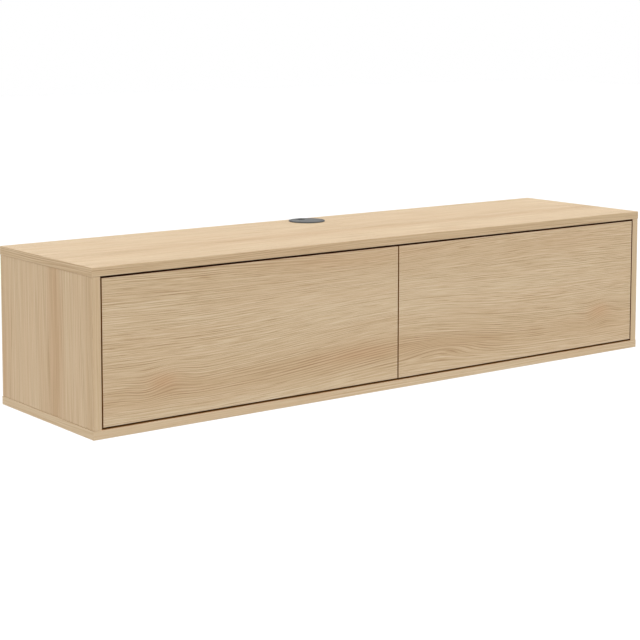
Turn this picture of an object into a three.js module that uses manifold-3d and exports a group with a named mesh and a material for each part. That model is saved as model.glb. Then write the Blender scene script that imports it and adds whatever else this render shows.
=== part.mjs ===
// Wall-hung media console in oak veneer with two push-to-open drawers, in millimetres.
// X runs to the right, Y to the wall and Z up. The origin is the middle of the wall rail's rear face.
import * as THREE from 'three';
import { mergeVertices } from 'three/addons/utils/BufferGeometryUtils.js';
import Module from 'manifold-3d';

const wasm = await Module();
wasm.setup();

// Carcase
const WIDTH = 1600;
const DEPTH = 400;
const HEIGHT = 352;
const BOARD = 19;
const SIDE_INSET = 1;
const EDGE_EASE = 0.8;
const SEAT_GAP = 0.3;
const OVERRUN = 1;
const RAIL_DROP = 72;

// Back panels, grooved into the carcase, with the cable channel between them and the wall
const BACK_BOARD = 8;
const BACK_GROOVE = 6;
const CHANNEL = 95;
const OUTLET_LENGTH = 110;
const OUTLET_HEIGHT = 50;
const OUTLET_DROP = 92;

// Cable grommet in the top panel
const GROMMET_BACK = 52;
const HOLE_RADIUS = 40;
const FLANGE_LIP = 4;
const FLANGE_HEIGHT = 2;
const FLANGE_EASE = 0.7;
const LINER_WALL = 2.2;
const LINER_RECESS = 1;
const CAP_THICKNESS = 3;
const CAP_LEDGE = 2.8;
const LEDGE_HEIGHT = 2;
const CAP_EASE = 0.5;
const CABLE_SLOT_WIDTH = 18;
const CABLE_SLOT_LENGTH = 25;

// Drawer fronts, flush with the carcase and set in its opening
const FRONT_BOARD = 19;
const GAP_TOP = 4;
const GAP_BOTTOM = 4.5;
const GAP_SIDE = 3;
const GAP_MIDDLE = 3;
const PARTITION_SETBACK = 5;

// Drawer boxes behind the fronts
const BOX_BOARD = 15;
const BOX_REAR_GAP = 27.7;
const BOX_HEIGHT = 200;
const BOX_LIFT = 20;
const BOX_EASE = 0.6;
const FLOOR_BOARD = 6;
const FLOOR_LIFT = 12;
const GROOVE_DEPTH = 6;

// Telescopic runners, as long as the drawer box
const RUNNER_HEIGHT = 44.4;
const RUNNER_SHEET = 1.2;
const RUNNER_BEND = 1;
const RUNNER_LIFT = 62;
const RUNNER_FRONT_GAP = 2;
const BALL_RADIUS = 1.5;
const BALL_PLAY = 0.1;
const BALL_SIDE_PLAY = 0.3;
const BALL_OFFSET = 3.2;
const FLANGE_RISE = 0.6;
const WEB_PLAY = 0.1;
const CAGE_SHEET = 0.5;
const CAGE_PLAY = 0.35;
const CAGE_LIP = 0.8;
const CAGE_END_ROOM = 15;
const CAGE_END = 11;
const BALLS_IN_ROW = 5;
const RUNNER_HOLE_RADIUS = 2.3;
const RUNNER_HOLE_INSET = 16;

// Push latches under the top panel
const LATCH_LENGTH = 76;
const LATCH_WIDTH = 17;
const LATCH_HEIGHT = 16;
const LATCH_FLANGE_WIDTH = 34;
const LATCH_FLANGE_HEIGHT = 3;
const LATCH_EASE = 0.8;
const LATCH_REACH = 7;
const LATCH_HOLE_RADIUS = 1.8;
const LATCH_HOLE_INSET = 14;
const PLUNGER_RADIUS = 4;
const PLUNGER_CLEARANCE = 0.4;
const PLUNGER_LENGTH = 52;
const PLUNGER_TAIL_ROOM = 10;
const TIP_RADIUS = 5;
const TIP_LENGTH = 3;
const TIP_EASE = 1;

// Wall rail: a flat leg on the wall and a lip that stands off it
const RAIL_SHEET = 2;
const RAIL_LEG = 20;
const RAIL_JOG = 5.5;
const RAIL_LIP = 12;
const RAIL_END_GAP = 6;
const RAIL_SLOT_LENGTH = 16;
const RAIL_SLOT_HEIGHT = 7;
const RAIL_SLOT_INSET = 74;
const RAIL_SLOTS = 8;

// Hangers in the upper rear corners
const HOOK_SHEET = 2.5;
const HOOK_WIDTH = 12;
const HOOK_INSET = 7;
const HOOK_BEND = 2.2;
const HOOK_TONGUE = 10;
const HOOK_WALL_GAP = 1.95;
const HOOK_ARM = 66;
const HOOK_LEG = 36;
const HANGER_SHEET = 1.5;
const HANGER_REACH = 20;
const HANGER_HEIGHT = 46;
const HANGER_LENGTH = 45;
const HANGER_WALL_GAP = 31;
const HANGER_BEND = 1.6;
const HANGER_HOLE_RADIUS = 2.3;
const HANGER_HOLE_SPREAD = 24;

// Facet counts
const EASE_STEPS = 2;
const ROUND_FACETS = 32;
const SLOT_FACETS = 6;
const HOLE_FACETS = 10;
const BALL_FACETS = 8;
const BALL_RINGS = 4;
const BEND_STEPS = 2;

// Places worked out from the sizes
const topZ = RAIL_DROP;
const bottomZ = topZ - HEIGHT;
const innerTopZ = topZ - BOARD;
const innerBottomZ = bottomZ + BOARD;
const innerHeight = innerTopZ - innerBottomZ;
const innerX = WIDTH / 2 - SIDE_INSET - BOARD;
const frontRearY = FRONT_BOARD - DEPTH;
const backFrontY = -CHANNEL - BACK_BOARD;
const clearWidth = innerX - BOARD / 2;
const clearCentreX = (innerX + BOARD / 2) / 2;
const boxFrontY = frontRearY + SEAT_GAP;
const boxRearY = backFrontY - BOX_REAR_GAP;
const boxDepth = boxRearY - boxFrontY;
const boxBottomZ = innerBottomZ + BOX_LIFT;

const oak = new THREE.MeshStandardMaterial({ color: 0xd0b188, roughness: 0.6, metalness: 0 });
const boxWood = new THREE.MeshStandardMaterial({ color: 0xdcc8a4, roughness: 0.65, metalness: 0 });
const backWood = new THREE.MeshStandardMaterial({ color: 0xd3bd98, roughness: 0.7, metalness: 0 });
const zinc = new THREE.MeshStandardMaterial({ color: 0xb4b8bb, roughness: 0.35, metalness: 1 });
const ballSteel = new THREE.MeshStandardMaterial({ color: 0xc8cacc, roughness: 0.2, metalness: 1 });
const greyPlastic = new THREE.MeshStandardMaterial({ color: 0x6e7478, roughness: 0.45, metalness: 0 });
const whitePlastic = new THREE.MeshStandardMaterial({ color: 0xdedcd6, roughness: 0.5, metalness: 0 });
const darkRubber = new THREE.MeshStandardMaterial({ color: 0x3a3a3a, roughness: 0.8, metalness: 0 });

const axisX = new THREE.Vector3(1, 0, 0);
const axisY = new THREE.Vector3(0, 1, 0);
const axisZ = new THREE.Vector3(0, 0, 1);
const alongX = new THREE.Matrix4().makeBasis(axisY, axisZ, axisX);
const alongY = new THREE.Matrix4().makeBasis(axisX, axisZ, axisY.clone().negate());

const wallConsole = new THREE.Group();

function at(x, y, z) {
  return new THREE.Vector3(x, y, z);
}

function add(group, name, material, piece) {
  const mesh = new THREE.Mesh(piece.geometry, material);
  mesh.name = name;
  mesh.position.copy(piece.place);
  group.add(mesh);
}

function toSolid(geometry) {
  const bare = geometry.clone();
  bare.deleteAttribute('normal');
  bare.deleteAttribute('uv');
  const merged = mergeVertices(bare);
  return new wasm.Manifold(new wasm.Mesh({
    numProp: 3,
    vertProperties: new Float32Array(merged.getAttribute('position').array),
    triVerts: new Uint32Array(merged.getIndex().array),
  }));
}

function toGeometry(solid) {
  const { vertProperties, triVerts } = solid.getMesh();
  const geometry = new THREE.BufferGeometry();
  geometry.setAttribute('position', new THREE.BufferAttribute(vertProperties, 3));
  geometry.setIndex(new THREE.BufferAttribute(triVerts, 1));
  geometry.computeVertexNormals();
  return geometry;
}

// A tool's geometry in the frame of the piece that it joins or cuts
function toolSolid(piece, tool) {
  const shift = tool.place.clone().sub(piece.place);
  return toSolid(tool.geometry.clone().translate(shift.x, shift.y, shift.z));
}

function carve(piece, cutters) {
  let body = toSolid(piece.geometry);
  for (const cutter of cutters) {
    body = body.subtract(toolSolid(piece, cutter));
  }
  return { geometry: toGeometry(body), place: piece.place };
}

function fuse(piece, others) {
  let body = toSolid(piece.geometry);
  for (const other of others) {
    body = body.add(toolSolid(piece, other));
  }
  return { geometry: toGeometry(body), place: piece.place };
}

function rectangle(width, height) {
  const outline = new THREE.Shape();
  outline.moveTo(-width / 2, -height / 2);
  outline.lineTo(width / 2, -height / 2);
  outline.lineTo(width / 2, height / 2);
  outline.lineTo(-width / 2, height / 2);
  outline.closePath();
  return outline;
}

// A slot's outline with round ends, its length along the first axis
function obround(length, height) {
  const radius = height / 2;
  const half = length / 2 - radius;
  const outline = new THREE.Shape();
  outline.absarc(half, 0, radius, -Math.PI / 2, Math.PI / 2, false);
  outline.absarc(-half, 0, radius, Math.PI / 2, Math.PI * 3 / 2, false);
  outline.closePath();
  return outline;
}

// An outline drawn out by a length that is centred on zero, with its end edges eased
function prism(outline, length, ease = 0, curveSegments = SLOT_FACETS) {
  const geometry = new THREE.ExtrudeGeometry(outline, {
    depth: length - 2 * ease,
    curveSegments,
    bevelEnabled: ease > 0,
    bevelThickness: ease,
    bevelSize: ease,
    bevelOffset: -ease,
    bevelSegments: EASE_STEPS,
  });
  return geometry.translate(0, 0, ease - length / 2);
}

// A board with eased edges round both its faces; its thickness is its least size
function board(sizeX, sizeY, sizeZ, ease, place) {
  const thickness = Math.min(sizeX, sizeY, sizeZ);
  let geometry;
  if (thickness === sizeZ) {
    geometry = prism(rectangle(sizeX, sizeY), thickness, ease);
  } else if (thickness === sizeY) {
    geometry = prism(rectangle(sizeX, sizeZ), thickness, ease).applyMatrix4(alongY);
  } else {
    geometry = prism(rectangle(sizeY, sizeZ), thickness, ease).applyMatrix4(alongX);
  }
  return { geometry, place };
}

function block(sizeX, sizeY, sizeZ, place) {
  return { geometry: new THREE.BoxGeometry(sizeX, sizeY, sizeZ), place };
}

function roundAlongX(radius, length, facets, place) {
  const geometry = new THREE.CylinderGeometry(radius, radius, length, facets);
  return { geometry: geometry.rotateZ(Math.PI / 2), place };
}

function roundAlongZ(radius, length, facets, place) {
  const geometry = new THREE.CylinderGeometry(radius, radius, length, facets);
  return { geometry: geometry.rotateX(Math.PI / 2), place };
}

// The outline of bent sheet: a centre line given half the thickness on both its sides
function sheetOutline(line, thickness) {
  const last = line.length - 1;
  const leftSide = [];
  const rightSide = [];
  line.forEach((point, index) => {
    const before = point.clone().sub(line[Math.max(index - 1, 0)]);
    const after = line[Math.min(index + 1, last)].clone().sub(point);
    const incoming = (index === 0 ? after : before).normalize();
    const outgoing = (index === last ? before : after).normalize();
    const along = incoming.clone().add(outgoing).normalize();
    const reach = thickness / 2 / along.dot(incoming);
    const across = new THREE.Vector2(-along.y, along.x).multiplyScalar(reach);
    leftSide.push(point.clone().add(across));
    rightSide.push(point.clone().sub(across));
  });
  return new THREE.Shape([...leftSide, ...rightSide.reverse()]);
}

// A centre line's upper half with its mirror image below the first axis
function mirrored(upper) {
  const lower = upper.slice(1).reverse().map((point) => new THREE.Vector2(point.x, -point.y));
  return [...lower, ...upper.slice(1)];
}

// Carcase: the top and the bottom run over the sides, which stand a little in from their ends,
// and one groove runs round all four for the back panels
const uprightHeight = innerHeight - 2 * SEAT_GAP;
const uprightZ = (innerTopZ + innerBottomZ) / 2;
const backY = backFrontY + BACK_BOARD / 2;
const backGroove = block(
  2 * (innerX + BACK_GROOVE),
  BACK_BOARD + 2 * SEAT_GAP,
  innerHeight + 2 * BACK_GROOVE,
  at(0, backY, uprightZ),
);
const grommetPlace = at(0, -GROMMET_BACK, topZ);
const topBlank = board(WIDTH, DEPTH, BOARD, EDGE_EASE, at(0, -DEPTH / 2, topZ - BOARD / 2));
const grommetHole = roundAlongZ(HOLE_RADIUS, 2 * BOARD + OVERRUN, ROUND_FACETS, grommetPlace);
const bottomBlank = board(WIDTH, DEPTH, BOARD, EDGE_EASE, at(0, -DEPTH / 2, bottomZ + BOARD / 2));
add(wallConsole, 'top_panel', oak, carve(topBlank, [grommetHole, backGroove]));
add(wallConsole, 'bottom_panel', oak, carve(bottomBlank, [backGroove]));
for (const [side, hand] of [['left', -1], ['right', 1]]) {
  const place = at(hand * (innerX + BOARD / 2), -DEPTH / 2, uprightZ);
  const blank = board(BOARD, DEPTH, uprightHeight, EDGE_EASE, place);
  add(wallConsole, `side_panel_${side}`, oak, carve(blank, [backGroove]));
}
const partitionFrontY = frontRearY + PARTITION_SETBACK;
const partitionRearY = backFrontY - SEAT_GAP;
const partitionPlace = at(0, (partitionFrontY + partitionRearY) / 2, uprightZ);
const partitionDepth = partitionRearY - partitionFrontY;
const partition = board(BOARD, partitionDepth, uprightHeight, EDGE_EASE, partitionPlace);
add(wallConsole, 'centre_partition', oak, partition);

// Back panels, each with a cable outlet above its drawer box
const backHold = BACK_GROOVE - SEAT_GAP;
const backWidth = innerX + backHold - SEAT_GAP / 2;
for (const [side, hand] of [['left', -1], ['right', 1]]) {
  const place = at(hand * (backWidth + SEAT_GAP) / 2, backY, uprightZ);
  const panel = block(backWidth, BACK_BOARD, innerHeight + 2 * backHold, place);
  const outlet = {
    geometry: prism(obround(OUTLET_LENGTH, OUTLET_HEIGHT), BACK_BOARD + 2 * OVERRUN).applyMatrix4(alongY),
    place: at(hand * clearCentreX, backY, innerTopZ - OUTLET_DROP),
  };
  add(wallConsole, `back_panel_${side}`, backWood, carve(panel, [outlet]));
}

// Grommet: a flanged liner in the top panel with a lift-out cap on its ledge
const linerRadius = HOLE_RADIUS - SEAT_GAP;
const flangeRadius = HOLE_RADIUS + FLANGE_LIP;
const throatRadius = linerRadius - LINER_WALL;
const capRadius = throatRadius - SEAT_GAP;
const flangeTopZ = SEAT_GAP + FLANGE_HEIGHT;
const ledgeTopZ = flangeTopZ - CAP_THICKNESS - SEAT_GAP;
const linerBottomZ = LINER_RECESS - BOARD;
const ringProfile = [
  [flangeRadius, SEAT_GAP],
  [flangeRadius, flangeTopZ - FLANGE_EASE],
  [flangeRadius - FLANGE_EASE, flangeTopZ],
  [throatRadius, flangeTopZ],
  [throatRadius, ledgeTopZ],
  [throatRadius - CAP_LEDGE, ledgeTopZ],
  [throatRadius - CAP_LEDGE, ledgeTopZ - LEDGE_HEIGHT],
  [throatRadius, ledgeTopZ - LEDGE_HEIGHT - CAP_LEDGE],
  [throatRadius, linerBottomZ],
  [linerRadius, linerBottomZ],
  [linerRadius, SEAT_GAP],
];
const capBottomZ = ledgeTopZ + SEAT_GAP;
const capProfile = [
  [0, capBottomZ],
  [capRadius, capBottomZ],
  [capRadius, flangeTopZ - CAP_EASE],
  [capRadius - CAP_EASE, flangeTopZ],
  [0, flangeTopZ],
];

// A profile of radius and height turned round the vertical axis
function turned(profile, place) {
  const points = profile.map(([radius, height]) => new THREE.Vector2(radius, height));
  const geometry = new THREE.LatheGeometry(points, ROUND_FACETS);
  return { geometry: geometry.rotateX(Math.PI / 2), place };
}

const cableSlot = {
  geometry: prism(obround(2 * CABLE_SLOT_LENGTH, CABLE_SLOT_WIDTH), 2 * BOARD).rotateZ(Math.PI / 2),
  place: grommetPlace.clone().setY(capRadius - GROMMET_BACK),
};
add(wallConsole, 'grommet_ring', greyPlastic, turned([...ringProfile, ringProfile[0]], grommetPlace));
add(wallConsole, 'grommet_cap', greyPlastic, carve(turned(capProfile, grommetPlace), [cableSlot]));

// Wall rail
const lipTopZ = RAIL_LEG / 2 + RAIL_JOG + RAIL_LIP;
const railLine = [
  new THREE.Vector2(-RAIL_SHEET / 2, -RAIL_LEG / 2),
  new THREE.Vector2(-RAIL_SHEET / 2, RAIL_LEG / 2),
  new THREE.Vector2(-RAIL_SHEET / 2 - RAIL_JOG, RAIL_LEG / 2 + RAIL_JOG),
  new THREE.Vector2(-RAIL_SHEET / 2 - RAIL_JOG, lipTopZ),
];
const railLength = 2 * (innerX - RAIL_END_GAP);
const slotPitch = (railLength - 2 * RAIL_SLOT_INSET) / (RAIL_SLOTS - 1);
const rail = {
  geometry: prism(sheetOutline(railLine, RAIL_SHEET), railLength).applyMatrix4(alongX),
  place: at(0, 0, 0),
};
const railSlots = Array.from({ length: RAIL_SLOTS }, (_, index) => ({
  geometry: prism(obround(RAIL_SLOT_LENGTH, RAIL_SLOT_HEIGHT), 2 * RAIL_SHEET + OVERRUN).applyMatrix4(alongY),
  place: at((index - (RAIL_SLOTS - 1) / 2) * slotPitch, -RAIL_SHEET / 2, 0),
}));
add(wallConsole, 'wall_rail', zinc, carve(rail, railSlots));

// Hangers: a channel on each side panel rides on the arm of a hook that sits over the rail's lip
const armZ = lipTopZ + SEAT_GAP + HOOK_SHEET / 2;
const tongueY = -HOOK_WALL_GAP - HOOK_SHEET / 2;
const legY = tongueY - HOOK_ARM;
const hookLine = new THREE.Path();
hookLine.moveTo(tongueY, lipTopZ - HOOK_TONGUE);
hookLine.lineTo(tongueY, armZ - HOOK_BEND);
hookLine.absarc(tongueY - HOOK_BEND, armZ - HOOK_BEND, HOOK_BEND, 0, Math.PI / 2, false);
hookLine.absarc(legY + HOOK_BEND, armZ - HOOK_BEND, HOOK_BEND, Math.PI / 2, Math.PI, false);
hookLine.lineTo(legY, armZ - HOOK_LEG);
const hookOutline = sheetOutline(hookLine.getPoints(BEND_STEPS), HOOK_SHEET);

const channelTopZ = armZ + HOOK_SHEET / 2 + SEAT_GAP + HANGER_SHEET / 2;
const channelBottomZ = channelTopZ - HANGER_HEIGHT;
const channelZ = (channelTopZ + channelBottomZ) / 2;
const hangerY = -HANGER_WALL_GAP - HANGER_LENGTH / 2;

function hangerChannel(hand) {
  const webX = hand * -HANGER_SHEET / 2;
  const bendX = hand * (-HANGER_SHEET / 2 - HANGER_BEND);
  const half = HANGER_HEIGHT / 2;
  const start = hand > 0 ? 0 : Math.PI;
  const upper = new THREE.Path();
  upper.moveTo(webX, 0);
  upper.lineTo(webX, half - HANGER_BEND);
  upper.absarc(bendX, half - HANGER_BEND, HANGER_BEND, start, Math.PI / 2, hand < 0);
  upper.lineTo(hand * -HANGER_REACH, half);
  return sheetOutline(mirrored(upper.getPoints(BEND_STEPS)), HANGER_SHEET);
}

for (const [side, hand] of [['left', -1], ['right', 1]]) {
  const place = at(hand * (innerX - SEAT_GAP), hangerY, channelZ);
  const channel = { geometry: prism(hangerChannel(hand), HANGER_LENGTH).applyMatrix4(alongY), place };
  const holes = [-1, 1].map((end) => {
    const holePlace = at(place.x, hangerY, channelZ + end * HANGER_HOLE_SPREAD / 2);
    return roundAlongX(HANGER_HOLE_RADIUS, 2 * HANGER_SHEET + OVERRUN, HOLE_FACETS, holePlace);
  });
  add(wallConsole, `hanger_body_${side}`, zinc, carve(channel, holes));
  add(wallConsole, `hanger_hook_${side}`, zinc, {
    geometry: prism(hookOutline, HOOK_WIDTH).applyMatrix4(alongX),
    place: at(hand * (innerX - HOOK_INSET - HOOK_WIDTH / 2), 0, 0),
  });
}

// Runner sections: u from the cabinet to the drawer and v up from the middle
const raceMid = BALL_RADIUS + BALL_PLAY + RUNNER_SHEET / 2;
const raceOuter = BALL_RADIUS + BALL_PLAY + RUNNER_SHEET;
const outerWebU = RUNNER_SHEET / 2;
const outerCageU = RUNNER_SHEET + CAGE_PLAY + CAGE_SHEET / 2;
const middleWebU = RUNNER_SHEET + 2 * CAGE_PLAY + CAGE_SHEET + RUNNER_SHEET / 2;
const innerCageU = middleWebU + RUNNER_SHEET / 2 + CAGE_PLAY + CAGE_SHEET / 2;
const outerBall = new THREE.Vector2(
  middleWebU + RUNNER_SHEET / 2 + BALL_SIDE_PLAY + BALL_RADIUS,
  RUNNER_HEIGHT / 2 - raceOuter,
);
const innerBall = new THREE.Vector2(outerBall.x + BALL_OFFSET, outerBall.y - 2 * raceMid + FLANGE_RISE);
const innerWebU = innerBall.x + raceOuter + WEB_PLAY + RUNNER_SHEET / 2;
const runnerThickness = innerWebU + RUNNER_SHEET / 2;
const cageLength = boxDepth / 2 - CAGE_END_ROOM;
const ballPitch = (cageLength - 2 * CAGE_END) / (BALLS_IN_ROW - 1);
const degree = Math.PI / 180;

// The outer member curls over the outer balls and down their far side
function outerMemberLine() {
  const line = new THREE.Path();
  const top = outerBall.y + raceMid;
  line.moveTo(outerWebU, 0);
  line.lineTo(outerWebU, top - RUNNER_BEND);
  line.absarc(outerWebU + RUNNER_BEND, top - RUNNER_BEND, RUNNER_BEND, 180 * degree, 90 * degree, true);
  line.absarc(outerBall.x, outerBall.y, raceMid, 90 * degree, 5 * degree, true);
  return line;
}

// The middle member's flange dips under the outer balls and humps over the inner ones
function middleMemberLine() {
  const line = new THREE.Path();
  const dip = 250 * degree;
  const level = outerBall.y + raceMid * Math.sin(dip);
  line.moveTo(middleWebU, 0);
  line.lineTo(middleWebU, level - RUNNER_BEND);
  line.absarc(middleWebU + RUNNER_BEND, level - RUNNER_BEND, RUNNER_BEND, 180 * degree, 90 * degree, true);
  line.absarc(outerBall.x, outerBall.y, raceMid, dip, 285 * degree, false);
  line.absarc(innerBall.x, innerBall.y, raceMid, 105 * degree, 30 * degree, true);
  return line;
}

// The inner member cups the inner balls from below
function innerMemberLine() {
  const line = new THREE.Path();
  const level = innerBall.y - raceMid;
  line.moveTo(innerWebU, 0);
  line.lineTo(innerWebU, level - RUNNER_BEND);
  line.absarc(innerWebU - RUNNER_BEND, level - RUNNER_BEND, RUNNER_BEND, 0, 90 * degree, false);
  line.absarc(innerBall.x, innerBall.y, raceMid, 270 * degree, 215 * degree, true);
  return line;
}

// A ball cage runs up beside a web and turns over to its row of balls
function cageLine(webU, ball) {
  const line = new THREE.Path();
  line.moveTo(webU, 0);
  line.lineTo(webU, ball.y - RUNNER_BEND);
  line.absarc(webU + RUNNER_BEND, ball.y - RUNNER_BEND, RUNNER_BEND, 180 * degree, 90 * degree, true);
  line.lineTo(ball.x + CAGE_LIP, ball.y);
  return line;
}

// One runner's piece from its section line, turned towards the drawer by hand
function runnerPiece(line, sheet, length, hand, place) {
  const upper = line.getPoints(BEND_STEPS).map((point) => new THREE.Vector2(hand * point.x, point.y));
  const outline = sheetOutline(mirrored(upper), sheet);
  return { geometry: prism(outline, length).applyMatrix4(alongY), place };
}

function cage(webU, ball, hand, place) {
  const strip = runnerPiece(cageLine(webU, ball), CAGE_SHEET, cageLength, hand, place);
  const balls = [];
  for (let index = 0; index < BALLS_IN_ROW; index += 1) {
    for (const row of [-1, 1]) {
      const along = (index - (BALLS_IN_ROW - 1) / 2) * ballPitch;
      balls.push({
        geometry: new THREE.SphereGeometry(BALL_RADIUS, BALL_FACETS, BALL_RINGS).rotateX(Math.PI / 2),
        place: at(place.x + hand * ball.x, place.y + along, place.z + row * ball.y),
      });
    }
  }
  return fuse(strip, balls);
}

function webHoles(webU, hand, place) {
  return [-1, 0, 1].map((end) => {
    const along = end * (boxDepth / 2 - RUNNER_HOLE_INSET);
    const holePlace = at(place.x + hand * webU, place.y + along, place.z);
    return roundAlongX(RUNNER_HOLE_RADIUS, 2 * RUNNER_SHEET, HOLE_FACETS, holePlace);
  });
}

function addRunner(number, wallX, hand) {
  const place = at(
    wallX + hand * SEAT_GAP,
    frontRearY + RUNNER_FRONT_GAP + boxDepth / 2,
    boxBottomZ + RUNNER_LIFT,
  );
  const runner = new THREE.Group();
  const outer = runnerPiece(outerMemberLine(), RUNNER_SHEET, boxDepth, hand, place);
  const middle = runnerPiece(middleMemberLine(), RUNNER_SHEET, boxDepth, hand, place);
  const inner = runnerPiece(innerMemberLine(), RUNNER_SHEET, boxDepth, hand, place);
  add(runner, `runner_${number}_outer_member`, zinc, carve(outer, webHoles(outerWebU, hand, place)));
  add(runner, `runner_${number}_outer_cage`, ballSteel, cage(outerCageU, outerBall, hand, place));
  add(runner, `runner_${number}_middle_member`, zinc, middle);
  add(runner, `runner_${number}_inner_cage`, ballSteel, cage(innerCageU, innerBall, hand, place));
  add(runner, `runner_${number}_inner_member`, zinc, carve(inner, webHoles(innerWebU, hand, place)));
  wallConsole.add(runner);
}

addRunner(1, -innerX, 1);
addRunner(2, -BOARD / 2, -1);
addRunner(3, BOARD / 2, 1);
addRunner(4, innerX, -1);

// Drawers: a front that fills its share of the opening, and a box on the runners with a grooved-in floor
const boxWidth = clearWidth - 2 * (runnerThickness + 2 * SEAT_GAP);
const boxZ = boxBottomZ + BOX_HEIGHT / 2;
const boxInnerWidth = boxWidth - 2 * BOX_BOARD;
const boxBackWidth = boxInnerWidth - 2 * SEAT_GAP;
const boxBackY = boxRearY - BOX_BOARD / 2;
const grooveHold = GROOVE_DEPTH - SEAT_GAP;
const floorFrontY = frontRearY - grooveHold;
const floorRearY = boxRearY - BOX_BOARD + grooveHold;
const floorPlaceY = (floorFrontY + floorRearY) / 2;
const floorZ = boxBottomZ + FLOOR_LIFT + FLOOR_BOARD / 2;
const floorWidth = boxInnerWidth + 2 * grooveHold;
const floorDepth = floorRearY - floorFrontY;
const frontWidth = innerX - GAP_SIDE - GAP_MIDDLE / 2;
const frontHeight = innerHeight - GAP_TOP - GAP_BOTTOM;
const frontZ = innerBottomZ + GAP_BOTTOM + frontHeight / 2;

for (const [side, hand] of [['left', -1], ['right', 1]]) {
  const drawer = new THREE.Group();
  const centreX = hand * clearCentreX;
  const floorPlace = at(centreX, floorPlaceY, floorZ);
  const floor = block(floorWidth, floorDepth, FLOOR_BOARD, floorPlace);
  const groove = block(
    floorWidth + 2 * SEAT_GAP,
    floorDepth + 2 * SEAT_GAP,
    FLOOR_BOARD + 2 * SEAT_GAP,
    floorPlace,
  );
  const frontPlace = at(hand * (GAP_MIDDLE + frontWidth) / 2, frontRearY - FRONT_BOARD / 2, frontZ);
  const front = board(frontWidth, FRONT_BOARD, frontHeight, EDGE_EASE, frontPlace);
  add(drawer, `drawer_${side}_front`, oak, carve(front, [groove]));
  for (const [end, toward] of [['left', -1], ['right', 1]]) {
    const place = at(centreX + toward * (boxWidth - BOX_BOARD) / 2, (boxFrontY + boxRearY) / 2, boxZ);
    const wall = board(BOX_BOARD, boxDepth, BOX_HEIGHT, BOX_EASE, place);
    add(drawer, `drawer_${side}_side_${end}`, boxWood, carve(wall, [groove]));
  }
  const back = board(boxBackWidth, BOX_BOARD, BOX_HEIGHT, BOX_EASE, at(centreX, boxBackY, boxZ));
  add(drawer, `drawer_${side}_back`, boxWood, carve(back, [groove]));
  add(drawer, `drawer_${side}_floor`, boxWood, floor);
  wallConsole.add(drawer);
}

// Push latches: a housing under the top panel whose plunger rests against the front's rear face
const latchTopZ = innerTopZ - SEAT_GAP;
const latchFrontY = frontRearY + LATCH_REACH;
const latchY = latchFrontY + LATCH_LENGTH / 2;
const plungerZ = latchTopZ - LATCH_FLANGE_HEIGHT - (LATCH_HEIGHT - LATCH_FLANGE_HEIGHT) / 2;
const tipFrontY = frontRearY + SEAT_GAP;
const boreDepth = PLUNGER_LENGTH - LATCH_REACH + PLUNGER_TAIL_ROOM;
const boreRadius = PLUNGER_RADIUS + PLUNGER_CLEARANCE;

function latchOutline() {
  const flange = LATCH_FLANGE_WIDTH / 2;
  const body = LATCH_WIDTH / 2;
  const outline = new THREE.Shape();
  outline.moveTo(-flange, 0);
  outline.lineTo(-flange, -LATCH_FLANGE_HEIGHT);
  outline.lineTo(-body, -LATCH_FLANGE_HEIGHT);
  outline.lineTo(-body, -LATCH_HEIGHT + LATCH_EASE);
  outline.lineTo(-body + LATCH_EASE, -LATCH_HEIGHT);
  outline.lineTo(body - LATCH_EASE, -LATCH_HEIGHT);
  outline.lineTo(body, -LATCH_HEIGHT + LATCH_EASE);
  outline.lineTo(body, -LATCH_FLANGE_HEIGHT);
  outline.lineTo(flange, -LATCH_FLANGE_HEIGHT);
  outline.lineTo(flange, 0);
  outline.closePath();
  return outline;
}

const plungerProfile = [
  [0, 0],
  [TIP_RADIUS - TIP_EASE, 0],
  [TIP_RADIUS, TIP_EASE],
  [TIP_RADIUS, TIP_LENGTH],
  [PLUNGER_RADIUS, TIP_LENGTH],
  [PLUNGER_RADIUS, PLUNGER_LENGTH],
  [0, PLUNGER_LENGTH],
];

for (const [side, hand] of [['left', -1], ['right', 1]]) {
  const x = hand * clearCentreX;
  const housing = {
    geometry: prism(latchOutline(), LATCH_LENGTH).applyMatrix4(alongY),
    place: at(x, latchY, latchTopZ),
  };
  const bore = {
    geometry: new THREE.CylinderGeometry(boreRadius, boreRadius, 2 * boreDepth, ROUND_FACETS / 2),
    place: at(x, latchFrontY, plungerZ),
  };
  const screwHoles = [-1, 1].map((end) => {
    const holeX = x + end * (LATCH_FLANGE_WIDTH + LATCH_WIDTH) / 4;
    const holeY = latchY + end * (LATCH_LENGTH / 2 - LATCH_HOLE_INSET);
    return roundAlongZ(LATCH_HOLE_RADIUS, 2 * LATCH_HEIGHT, HOLE_FACETS, at(holeX, holeY, latchTopZ));
  });
  add(wallConsole, `latch_${side}_housing`, whitePlastic, carve(housing, [bore, ...screwHoles]));
  const points = plungerProfile.map(([radius, along]) => new THREE.Vector2(radius, along));
  add(wallConsole, `latch_${side}_plunger`, darkRubber, {
    geometry: new THREE.LatheGeometry(points, ROUND_FACETS / 2),
    place: at(x, tipFrontY, plungerZ),
  });
}

export default wallConsole;
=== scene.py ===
"""Looks of a wall-hung oak media console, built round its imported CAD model.

Metres, in the frame of the CAD: X to the right, Y to the wall and Z up, with the origin on the wall.
"""
import math
from collections import namedtuple

import bmesh
import bpy
from mathutils import Matrix, Vector


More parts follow.
